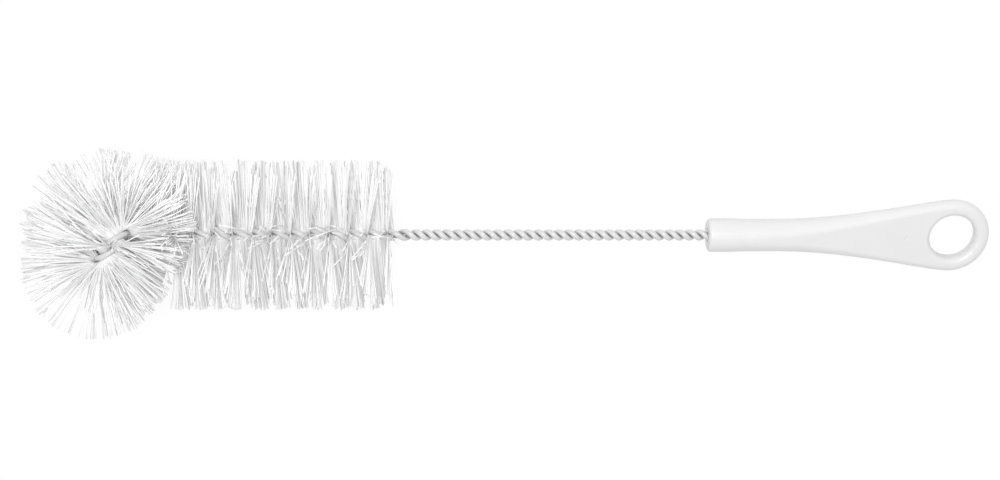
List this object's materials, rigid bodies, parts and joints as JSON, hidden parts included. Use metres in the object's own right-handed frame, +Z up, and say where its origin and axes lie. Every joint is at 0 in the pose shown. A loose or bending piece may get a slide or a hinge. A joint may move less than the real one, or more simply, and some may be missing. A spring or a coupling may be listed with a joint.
{
  "type": "bottle brush",
  "caption": "Long bottle brush with bristles held in a twisted coated wire that ends in a ring, and a moulded handle with a round hole to hang it by.",
  "frame": {"origin": "middle of the part's outline seen from above, at the level of the bench that it lies on", "axes": "+X along the stem from the bristles to the handle, +Z up, and the flat of the handle lies across Y"},
  "size_m": [0.3984, 0.0725, 0.0814],
  "materials": {
    "handle_plastic": "white injection-moulded polypropylene, satin",
    "coated_wire": "white plastic coating on steel wire, soft gloss",
    "bristles": "white synthetic filament, slightly translucent"
  },
  "bodies": {
    "root": {"handle": "handle_plastic", "twisted_wire": "coated_wire", "body_tuft_01": "bristles", "body_tuft_02": "bristles", "body_tuft_03": "bristles", "body_tuft_04": "bristles", "body_tuft_05": "bristles", "body_tuft_06": "bristles", "body_tuft_07": "bristles", "body_tuft_08": "bristles", "body_tuft_09": "bristles", "body_tuft_10": "bristles", "ring_tuft_01": "bristles", "ring_tuft_02": "bristles", "ring_tuft_03": "bristles", "ring_tuft_04": "bristles", "ring_tuft_05": "bristles", "ring_tuft_06": "bristles"}
  },
  "joints": []
}
